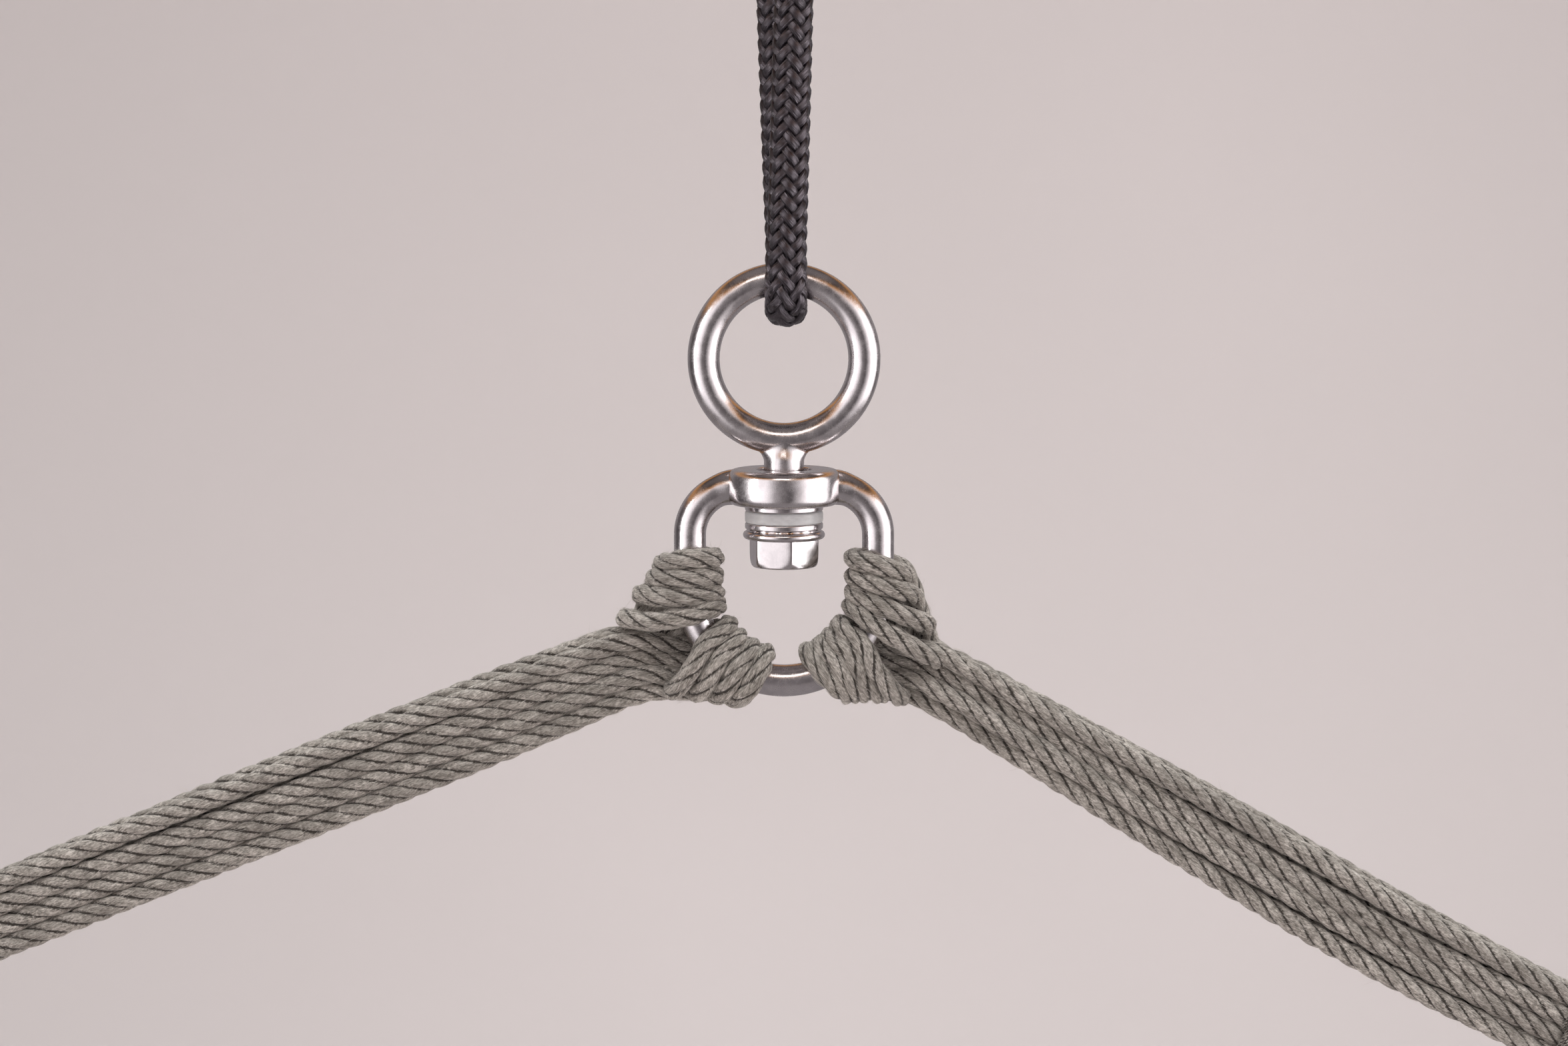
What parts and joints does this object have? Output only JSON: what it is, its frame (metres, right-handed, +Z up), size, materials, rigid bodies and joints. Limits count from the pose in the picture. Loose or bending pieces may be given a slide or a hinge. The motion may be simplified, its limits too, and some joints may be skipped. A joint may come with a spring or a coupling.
{
  "type": "swing suspension swivel with sling and rope legs",
  "caption": "Hanger for a swing seat: ceiling eye plate, doubled braided sling, ball-bearing swivel, and two laid-rope legs hitched on its bow.",
  "frame": {"origin": "centre of the ceiling plate's top face", "axes": "+Z up, towards the ceiling; +X across the bow, from the left leg to the right leg; -Y the front"},
  "size_m": [0.5046, 0.06, 0.3528],
  "materials": {
    "stainless": "satin polished stainless with fine cast grain",
    "bearing_steel": "polished",
    "nylon": "natural white nylon, slightly translucent",
    "black_braid": "shiny filament yarn braid",
    "black_whipping": "waxed black twine",
    "grey_rope": "fuzzy staple-fibre laid rope",
    "grey_twine": "twisted twine"
  },
  "bodies": {
    "ceiling": {"ceiling_eye_plate": "stainless"},
    "sling": {"sling_rope": "black_braid", "sling_splice": "black_whipping"},
    "eye": {"swivel_eye": "stainless", "lower_race": "stainless", "flange_nut": "stainless"},
    "cage": {"ball_cage": "nylon", "bearing_balls": "bearing_steel"},
    "bow": {"upper_race": "stainless", "swivel_bow": "stainless", "left_hitch_cord_1": "grey_rope", "left_hitch_cord_2": "grey_rope", "left_hitch_cord_3": "grey_rope", "left_hitch_cord_4": "grey_rope", "right_hitch_cord_1": "grey_rope", "right_hitch_cord_2": "grey_rope", "right_hitch_cord_3": "grey_rope", "right_hitch_cord_4": "grey_rope"},
    "left_leg": {"left_leg_cord_1": "grey_rope", "left_leg_cord_2": "grey_rope", "left_leg_cord_3": "grey_rope", "left_leg_cord_4": "grey_rope", "left_whipping": "grey_twine"},
    "left_ring": {"left_seat_ring": "stainless"},
    "right_leg": {"right_leg_cord_1": "grey_rope", "right_leg_cord_2": "grey_rope", "right_leg_cord_3": "grey_rope", "right_leg_cord_4": "grey_rope", "right_whipping": "grey_twine"},
    "right_ring": {"right_seat_ring": "stainless"}
  },
  "joints": [
    {"name": "sling_swing", "type": "hinge", "parent": "ceiling", "child": "sling", "pos_m": [0, 0, -0.025], "axis": [0.9336, 0.3584, 0], "range_deg": [-45, 45]},
    {"name": "ring_sway", "type": "hinge", "parent": "sling", "child": "eye", "pos_m": [0, 0, -0.1475], "axis": [0, 1, 0], "range_deg": [-30, 30]},
    {"name": "swivel_spin", "type": "hinge", "parent": "eye", "child": "bow", "pos_m": [0, 0, -0.1795], "axis": [0, 0, 1], "continuous": true},
    {"name": "cage_roll", "type": "hinge", "parent": "eye", "child": "cage", "pos_m": [0, 0, -0.187], "axis": [0, 0, 1], "continuous": true},
    {"name": "left_lift", "type": "hinge", "parent": "bow", "child": "left_leg", "pos_m": [-0.04424, 0, -0.22933], "axis": [0.01, 0.9999, 0.004], "range_deg": [-18, 18]},
    {"name": "left_ring_swing", "type": "hinge", "parent": "left_leg", "child": "left_ring", "pos_m": [-0.22909, 0, -0.30029], "axis": [-0.3584, 0, 0.9336], "range_deg": [-60, 60]},
    {"name": "right_lift", "type": "hinge", "parent": "bow", "child": "right_leg", "pos_m": [0.04329, 0, -0.23116], "axis": [0.01, -0.9999, -0.004], "range_deg": [-18, 18]},
    {"name": "right_ring_swing", "type": "hinge", "parent": "right_leg", "child": "right_ring", "pos_m": [0.21822, 0, -0.32812], "axis": [0.4848, 0, 0.8746], "range_deg": [-60, 60]}
  ],
  "couplings": [
    {"joint": "cage_roll", "follows": "swivel_spin", "ratio": 0.5}
  ]
}
